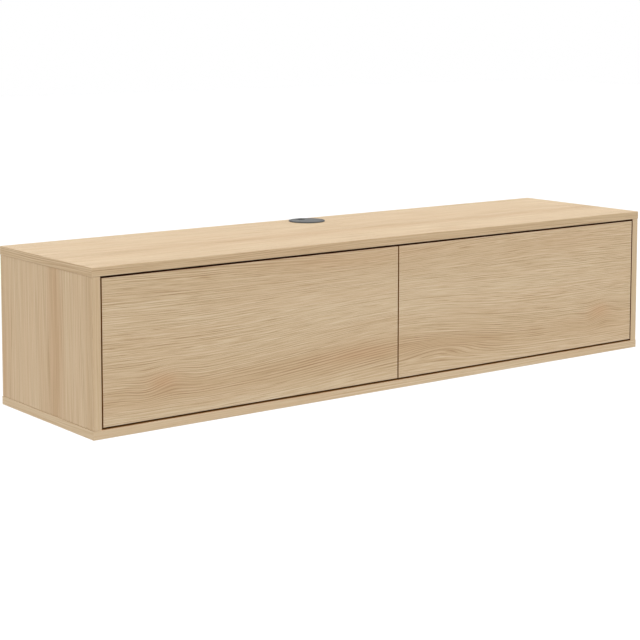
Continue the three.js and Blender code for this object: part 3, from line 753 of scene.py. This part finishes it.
def eased(points, ease, closed=False):
    """A line of points with each corner rounded off."""
    result = []
    count = len(points)
    for index, point in enumerate(points):
        if not closed and index in (0, count - 1):
            result.append(point)
            continue
        before = points[index - 1] - point
        after = points[(index + 1) % count] - point
        reach = min(ease, before.length / 2, after.length / 2)
        start = point + before.normalized() * reach
        end = point + after.normalized() * reach
        for step in range(EASE_STEPS + 1):
            share = step / EASE_STEPS
            near, far = start.lerp(point, share), point.lerp(end, share)
            result.append(near.lerp(far, share))
    return result


def to_mesh(name, shape):
    """The shape as a mesh, smooth but for its creases."""
    bmesh.ops.recalc_face_normals(shape, faces=shape.faces)
    mesh = bpy.data.meshes.new(name)
    shape.to_mesh(mesh)
    shape.free()
    mesh.shade_smooth()
    mesh.set_sharp_from_angle(angle=CREASE)
    return mesh


def bridge(shape, lower, upper):
    """Faces between two rings of points, or a ring and a point."""
    count = max(len(lower), len(upper))
    for step in range(count):
        following = (step + 1) % count
        corners = []
        for ring, order in ((lower, (step, following)), (upper, (following, step))):
            corners += [ring[0]] if len(ring) == 1 else [ring[index] for index in order]
        shape.faces.new(corners)


def turned(name, profile, steps, closed=False):
    """A form turned round the vertical axis from a profile of radius and height."""
    shape = bmesh.new()
    rings = []
    for radius, height in profile:
        if radius == 0:
            rings.append([shape.verts.new((0, 0, height))])
            continue
        angles = [math.tau * step / steps for step in range(steps)]
        rings.append([
            shape.verts.new((radius * math.cos(angle), radius * math.sin(angle), height))
            for angle in angles
        ])
    pairs = list(zip(rings, rings[1:]))
    if closed:
        pairs.append((rings[-1], rings[0]))
    for lower, upper in pairs:
        bridge(shape, lower, upper)
    return to_mesh(name, shape)


def lofted(name, levels):
    """A closed form through outlines of equal count, each at its height."""
    shape = bmesh.new()
    rings = [[shape.verts.new((x, y, height)) for x, y in outline] for outline, height in levels]
    for lower, upper in zip(rings, rings[1:]):
        bridge(shape, lower, upper)
    shape.faces.new(rings[0])
    shape.faces.new(rings[-1])
    return to_mesh(name, shape)


def cut(name, mesh, cutter):
    """The mesh with another one taken out of it."""
    body = bpy.data.objects.new("cut_body", mesh)
    tool = bpy.data.objects.new("cut_tool", cutter)
    for part in (body, tool):
        bpy.context.scene.collection.objects.link(part)
    modifier = body.modifiers.new("cut", "BOOLEAN")
    modifier.object = tool
    modifier.operation = "DIFFERENCE"
    modifier.solver = "EXACT"
    bpy.context.view_layer.update()
    done = bpy.data.meshes.new_from_object(body.evaluated_get(bpy.context.evaluated_depsgraph_get()))
    done.name = name
    for part in (body, tool):
        bpy.data.objects.remove(part)
    done.shade_smooth()
    done.set_sharp_from_angle(angle=CREASE)
    return done


def facing(direction, place):
    """Stands a form that rises along Z on a place, rising along a direction."""
    turn = Vector(direction).to_track_quat("Z", "Y").to_matrix().to_4x4()
    return Matrix.Translation(place) @ turn


def copies(name, mesh, stands):
    """One mesh of copies, one for each stand."""
    shape = bmesh.new()
    for stand in stands:
        copy = mesh.copy()
        copy.transform(stand)
        shape.from_mesh(copy)
        bpy.data.meshes.remove(copy)
    result = bpy.data.meshes.new(name)
    shape.to_mesh(result)
    shape.free()
    result.set_sharp_from_angle(angle=CREASE)
    return result


def add_piece(name, mesh, look_name, body):
    """A piece of the scene in its material, riding on its body."""
    piece = bpy.data.objects.new(name, mesh)
    bpy.context.scene.collection.objects.link(piece)
    mesh.materials.clear()
    mesh.materials.append(looks[look_name])
    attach(piece, body)
    return piece


def screw_head(name, radius, height):
    """A domed head with a tapering cross in it."""
    shoulder = Vector((DOME_SHOULDER_SHARE * radius, DOME_SHOULDER_SHARE * height))
    dome = [Vector((0, 0)), Vector((radius, 0)), shoulder, Vector((0, height))]
    dome = [tuple(point) for point in eased(dome, DOME_EASE_SHARE * radius)]
    head = turned(name + "_blank", dome, TURN_STEPS)
    reach, half = radius * CROSS_REACH_SHARE, radius * CROSS_WIDTH_SHARE / 2
    quarter = [(half, half), (half, reach), (-half, reach)]
    cross = []
    for arm in range(CROSS_ARMS):
        turn = Matrix.Rotation(arm * math.tau / CROSS_ARMS, 2)
        cross += [turn @ Vector(point) for point in quarter]
    foot = [CROSS_FOOT_SHARE * point for point in cross]
    levels = [(foot, height * (1 - CROSS_DEPTH_SHARE)), (cross, height * CROSS_OVERRUN_SHARE)]
    return cut(name, head, lofted(name + "_cross", levels))


def cap_head(name, radius, height):
    """A low round cap with a soft edge."""
    line = [Vector((0, 0)), Vector((radius, 0)), Vector((radius, height)), Vector((0, height))]
    return turned(name, [tuple(point) for point in eased(line, CAM_EASE_SHARE * height)], TURN_STEPS)


def add_grommet():
    """The cable grommet's ring and lift-out cap, smooth where the CAD has facets."""
    low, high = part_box("grommet_ring")
    cap_low, cap_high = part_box("grommet_cap")
    middle = Vector(((low.x + high.x) / 2, (low.y + high.y) / 2, 0))
    flange = (high.x - low.x) / 2
    liner = flange - FLANGE_LIP
    cap_radius = (cap_high.x - cap_low.x) / 2
    throat = cap_radius + THROAT_PLAY
    ledge = cap_low.z - THROAT_PLAY
    ring = eased([Vector(point) for point in (
        (flange, high.z - FLANGE_HEIGHT),
        (flange, high.z),
        (throat, high.z),
        (throat, ledge),
        (throat - CAP_LEDGE, ledge),
        (throat - CAP_LEDGE, ledge - LEDGE_HEIGHT),
        (throat, ledge - LEDGE_HEIGHT - CAP_LEDGE),
        (throat, low.z),
        (liner, low.z),
        (liner, high.z - FLANGE_HEIGHT),
    )], RING_EASE, closed=True)
    ring_mesh = turned("grommet_ring_smooth", [tuple(point) for point in ring], GROMMET_STEPS, closed=True)
    ring_mesh.transform(Matrix.Translation(middle))
    ring_piece = add_piece("grommet_ring_smooth", ring_mesh, "ring_plastic", "cabinet")
    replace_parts(ring_piece, "grommet_ring")

    cap = eased([Vector(point) for point in (
        (0, cap_low.z),
        (cap_radius, cap_low.z),
        (cap_radius, cap_high.z),
        (DISH_RADIUS + DISH_WIDTH, cap_high.z),
        (DISH_RADIUS + DISH_WIDTH / 2, cap_high.z - DISH_DEPTH),
        (DISH_RADIUS, cap_high.z),
        (0, cap_high.z),
    )], CAP_EASE)
    blank = turned("grommet_cap_blank", [tuple(point) for point in cap], GROMMET_STEPS)
    half = SLOT_WIDTH / 2
    foot = Vector((0, cap_radius - SLOT_LENGTH + half))
    angles = [math.pi + math.pi * step / SLOT_STEPS for step in range(SLOT_STEPS + 1)]
    slot = [foot + half * Vector((math.cos(angle), math.sin(angle))) for angle in angles]
    past = SLOT_OVERRUN_SHARE * cap_radius
    slot += [Vector((half, past)), Vector((-half, past))]
    depth = cap_high.z - cap_low.z
    cutter = lofted("grommet_slot", [(slot, cap_low.z - depth), (slot, cap_high.z + depth)])
    cap_mesh = cut("grommet_cap_smooth", blank, cutter)
    cap_mesh.transform(Matrix.Translation(middle))
    cap_piece = add_piece("grommet_cap_smooth", cap_mesh, "cap_plastic", "grommet_cap_body")
    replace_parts(cap_piece, "grommet_cap")


def cage_mesh(name, low, high, hand):
    """A bent strip that carries its two rows of balls along a runner."""
    web = low.x if hand > 0 else high.x
    row = (high.x if hand > 0 else low.x) - hand * BALL_RADIUS
    middle = (low.z + high.z) / 2
    level = high.z - BALL_RADIUS - middle
    half = CAGE_SHEET / 2
    line = [Vector((web + hand * half, 0)), Vector((web + hand * half, level)),
            Vector((row + hand * CAGE_LIP, level))]
    upper = eased(line, CAGE_BEND)
    strip = [Vector((point.x, -point.y)) for point in reversed(upper[1:])] + upper[1:]
    sides = ([], [])
    for index, point in enumerate(strip):
        along = strip[min(index + 1, len(strip) - 1)] - strip[max(index - 1, 0)]
        across = half * Vector((-along.y, along.x)).normalized()
        sides[0].append(point + across)
        sides[1].append(point - across)
    outline = sides[0] + sides[1][::-1]
    shape = bmesh.new()
    ends = [
        [shape.verts.new((point.x, y, middle + point.y)) for point in outline]
        for y in (low.y, high.y)
    ]
    bridge(shape, *ends)
    for end in ends:
        shape.faces.new(end)
    return to_mesh(name, shape)


def ball_places(low, high, hand):
    """The middles of a cage's balls, in two rows."""
    row = (high.x if hand > 0 else low.x) - hand * BALL_RADIUS
    pitch = (high.y - low.y - 2 * CAGE_END) / (BALLS_IN_ROW - 1)
    return [
        Vector((row, low.y + CAGE_END + index * pitch, z))
        for index in range(BALLS_IN_ROW)
        for z in (low.z + BALL_RADIUS, high.z - BALL_RADIUS)
    ]


def ball_mesh():
    """A ball of the cages, turned from half a circle."""
    angles = [math.pi * step / BALL_RINGS for step in range(BALL_RINGS + 1)]
    profile = [(BALL_RADIUS * math.sin(angle), -BALL_RADIUS * math.cos(angle)) for angle in angles]
    profile[0] = (0, -BALL_RADIUS)
    profile[-1] = (0, BALL_RADIUS)
    return turned("ball", profile, BALL_STEPS)


def add_cages():
    """Each cage's bent strip, and its balls in steel of their own."""
    ball = ball_mesh()
    for number in RUNNERS:
        for level in ("outer", "inner"):
            node = f"runner_{number}_{level}_cage"
            body = f"{node}_body"
            low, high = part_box(node)
            strip = cage_mesh(f"{node}_strip", low, high, HANDS[number])
            piece = add_piece(f"{node}_strip", strip, "cage_steel", body)
            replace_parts(piece, node)
            stands = [Matrix.Translation(place) for place in ball_places(low, high, HANDS[number])]
            balls = copies(f"{node}_balls", ball, stands)
            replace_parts(add_piece(f"{node}_balls", balls, "ball_steel", body), node)
    bpy.data.meshes.remove(ball)


def runner_holes(node, hand, sheet):
    """The places of a member's screw holes, on the face of its web that the balls see."""
    low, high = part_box(node)
    if "outer" in node:
        web = (low.x if hand > 0 else high.x) + hand * sheet
    else:
        web = (high.x if hand > 0 else low.x) - hand * sheet
    middle = (low.z + high.z) / 2
    ys = (low.y + RUNNER_HOLE_INSET, (low.y + high.y) / 2, high.y - RUNNER_HOLE_INSET)
    return [Vector((web, y, middle)) for y in ys]


def add_runner_fixings():
    """Sunk screws that hold the outer members, and pan heads that hold the inner ones."""
    pan = screw_head("pan", PAN_RADIUS, PAN_HEIGHT)
    sink = screw_head("sink", SINK_RADIUS, SINK_HEIGHT)
    sunk = []
    for number in RUNNERS:
        hand = HANDS[number]
        drawer = DRAWER_OF[number]
        for place in runner_holes(f"runner_{number}_outer_member", hand, 0):
            sunk.append(facing((hand, 0, 0), place))
        held = runner_holes(f"runner_{number}_inner_member", hand, MEMBER_SHEET)
        heads = copies(f"runner_{number}_screws", pan, [facing((-hand, 0, 0), place) for place in held])
        add_piece(f"runner_{number}_screws", heads, "screw_steel", f"drawer_{drawer}")
    sunk_heads = copies("runner_wall_screws", sink, sunk)
    add_piece("runner_wall_screws", sunk_heads, "screw_steel", "cabinet")


def add_carcase_cams():
    """Caps over the cam fittings of the carcase."""
    cap = cap_head("cam", CAM_RADIUS, CAM_HEIGHT)
    floor_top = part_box("bottom_panel")[1].z
    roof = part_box("top_panel")[0].z
    low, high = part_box("centre_partition")
    faces = [(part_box("side_panel_left")[1].x, 1), (low.x, -1),
             (high.x, 1), (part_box("side_panel_right")[0].x, -1)]
    stands = []
    for x, hand in faces:
        for z in (floor_top + CAM_INSET, roof - CAM_INSET):
            for y in (low.y + CAM_FROM_FRONT, high.y - CAM_FROM_BACK):
                stands.append(facing((hand, 0, 0), (x, y, z)))
    for x, hand in (faces[0], faces[-1]):
        stands.append(facing((hand, 0, 0), (x, -CAM_FROM_BACK, floor_top + CAM_INSET)))
    caps = copies("carcase_cam_caps", cap, stands)
    add_piece("carcase_cam_caps", caps, "cam_plastic", "cabinet")


def add_box_fixings():
    """Caps over the cam fittings of the drawer boxes, and the screws in their rear corners."""
    cap = cap_head("box_cam", CAM_RADIUS, CAM_HEIGHT)
    corner = screw_head("corner", CORNER_RADIUS, CORNER_HEIGHT)
    for side in SIDES:
        caps, heads = [], []
        back_low, back_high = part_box(f"drawer_{side}_back")
        for end, hand in (("left", 1), ("right", -1)):
            low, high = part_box(f"drawer_{side}_side_{end}")
            inner, outer = (high.x, low.x) if hand > 0 else (low.x, high.x)
            middle = (low.z + high.z) / 2
            for z in (middle - BOX_CAM_SPREAD / 2, middle + BOX_CAM_SPREAD / 2):
                caps.append(facing((hand, 0, 0), (inner, low.y + BOX_CAM_FROM_FRONT, z)))
            for spread in CORNER_SPREADS:
                place = (outer, (back_low.y + back_high.y) / 2, middle + spread)
                heads.append(facing((-hand, 0, 0), place))
        add_piece(f"drawer_{side}_cam_caps", copies("box_cams", cap, caps), "cam_plastic",
                  f"drawer_{side}")
        add_piece(f"drawer_{side}_corner_screws", copies("corner_screws", corner, heads), "screw_steel",
                  f"drawer_{side}")


def add_hanger_screws():
    """Two screws in each hanger, through its web."""
    pan = screw_head("hanger_pan", PAN_RADIUS, PAN_HEIGHT)
    stands = []
    for side, hand in (("left", 1), ("right", -1)):
        low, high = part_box(f"hanger_body_{side}")
        web = (low.x if hand > 0 else high.x) + hand * HANGER_SHEET
        for end in (-1, 1):
            z = (low.z + high.z) / 2 + end * HANGER_HOLE_SPREAD / 2
            stands.append(facing((hand, 0, 0), (web, (low.y + high.y) / 2, z)))
    add_piece("hanger_screws", copies("hanger_screws", pan, stands), "screw_steel", "cabinet")


def add_latch_parts():
    """Latch screws, and a smooth rod and rubber tip for each plunger."""
    head = screw_head("latch_pan", LATCH_SCREW_RADIUS, LATCH_SCREW_HEIGHT)
    stands = []
    for side in SIDES:
        low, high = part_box(f"latch_{side}_housing")
        middle = (low + high) / 2
        aside = (high.x - low.x + LATCH_BODY_WIDTH) / 2 / 2
        along = (high.y - low.y) / 2 - LATCH_SCREW_INSET
        for end in (-1, 1):
            place = (middle.x + end * aside, middle.y + end * along, high.z - LATCH_FLANGE)
            stands.append(facing((0, 0, -1), place))
        low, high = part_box(f"latch_{side}_plunger")
        tip_radius = (high.x - low.x) / 2
        stand = facing((0, 1, 0), ((low.x + high.x) / 2, low.y, (low.z + high.z) / 2))
        tip = eased([Vector((0, 0)), Vector((tip_radius, 0)), Vector((tip_radius, TIP_LENGTH)),
                     Vector((0, TIP_LENGTH))], TIP_EASE)
        rod = eased([Vector((0, TIP_LENGTH)), Vector((ROD_RADIUS, TIP_LENGTH)),
                     Vector((ROD_RADIUS, high.y - low.y)), Vector((0, high.y - low.y))], ROD_EASE)
        for part, line, look_name, slot in (("tip", tip, "tip_rubber", "latch_tip"),
                                            ("rod", rod, "rod_plastic", "latch_plastic")):
            mesh = turned(f"latch_{side}_{part}", [tuple(point) for point in line], TURN_STEPS)
            mesh.transform(stand)
            piece = add_piece(f"latch_{side}_{part}", mesh, look_name, f"latch_{side}_plunger_body")
            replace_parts(piece, f"latch_{side}_plunger")
    add_piece("latch_screws", copies("latch_screws", head, stands), "screw_steel", "cabinet")


def stage_floor():
    """A wide pale floor, lit up for the camera so that it shows white."""
    level = cad_box[0][2] - FLOOR_DROP
    mesh = bpy.data.meshes.new("floor")
    corners = [(-FLOOR_HALF, -FLOOR_HALF), (FLOOR_HALF, -FLOOR_HALF),
               (FLOOR_HALF, FLOOR_HALF), (-FLOOR_HALF, FLOOR_HALF)]
    mesh.from_pydata([(x, y, level) for x, y in corners], [], [tuple(range(len(corners)))])
    floor = bpy.data.objects.new("floor", mesh)
    bpy.context.scene.collection.objects.link(floor)
    material = bpy.data.materials.new("floor_paint")
    material.use_nodes = True
    tree = material.node_tree
    shader = tree.nodes["Principled BSDF"]
    shader.inputs["Base Color"].default_value = (FLOOR_TONE_SHARE, FLOOR_TONE_SHARE, FLOOR_TONE_SHARE, 1)
    shader.inputs["Roughness"].default_value = 1
    shader.inputs["Specular IOR Level"].default_value = 0
    shader.inputs["Emission Color"].default_value = WHITE
    seen = seen_rays(tree)
    lift = tree.nodes.new("ShaderNodeMath")
    lift.operation = "MULTIPLY"
    lift.inputs[1].default_value = FLOOR_LIFT_SHARE
    tree.links.new(seen, lift.inputs[0])
    tree.links.new(lift.outputs[0], shader.inputs["Emission Strength"])
    mesh.materials.append(material)


def seen_rays(tree):
    """1 for a ray from the camera or from a gloss or glass, and 0 for one that lights the object."""
    path = tree.nodes.new("ShaderNodeLightPath")
    result = path.outputs["Is Camera Ray"]
    for kind in ("Is Glossy Ray", "Is Transmission Ray"):
        node = tree.nodes.new("ShaderNodeMath")
        node.operation = "MAXIMUM"
        tree.links.new(result, node.inputs[0])
        tree.links.new(path.outputs[kind], node.inputs[1])
        result = node.outputs[0]
    return result


def stage_world():
    """White surroundings for the camera, which light the object more softly than they show."""
    world = bpy.data.worlds.new("studio")
    world.use_nodes = True
    bpy.context.scene.world = world
    tree = world.node_tree
    background = tree.nodes["Background"]
    background.inputs["Color"].default_value = WHITE
    strength = tree.nodes.new("ShaderNodeMix")
    tree.links.new(seen_rays(tree), strength.inputs[MIX_SHARE])
    for index, value in zip(MIX_NUMBERS, (ROOM_LIGHT_SHARE, 1)):
        strength.inputs[index].default_value = value
    tree.links.new(strength.outputs[0], background.inputs["Strength"])


def soft_lamp(name, direction, level):
    """A wide, even lamp that gives a white face turned to it this level of light."""
    light = bpy.data.lights.new(name, "SUN")
    light.energy = level * math.pi
    light.angle = SUN_SPREAD
    lamp = bpy.data.objects.new(name, light)
    lamp.rotation_euler = direction.to_track_quat("Z", "Y").to_euler()
    bpy.context.scene.collection.objects.link(lamp)


def photo_camera():
    """A camera that stands and looks as the photograph's did."""
    data = bpy.data.cameras.new("photo_camera")
    data.lens = CAMERA_LENS
    data.shift_x, data.shift_y = CAMERA_SHIFT_SHARES
    camera = bpy.data.objects.new("photo_camera", data)
    camera.location = CAMERA_PLACE
    camera.rotation_euler = (math.tau / 4 - CAMERA_ELEVATION, 0, -CAMERA_AZIMUTH)
    bpy.context.scene.collection.objects.link(camera)
    bpy.context.scene.camera = camera


dress_nodes()
add_grommet()
add_cages()
add_runner_fixings()
add_carcase_cams()
add_box_fixings()
add_hanger_screws()
add_latch_parts()
stage_floor()
stage_world()
for lamp_name, (direction, level) in SOFT_LAMPS.items():
    soft_lamp(lamp_name, direction, level)
photo_camera()
bpy.context.scene.view_settings.view_transform = "Standard"
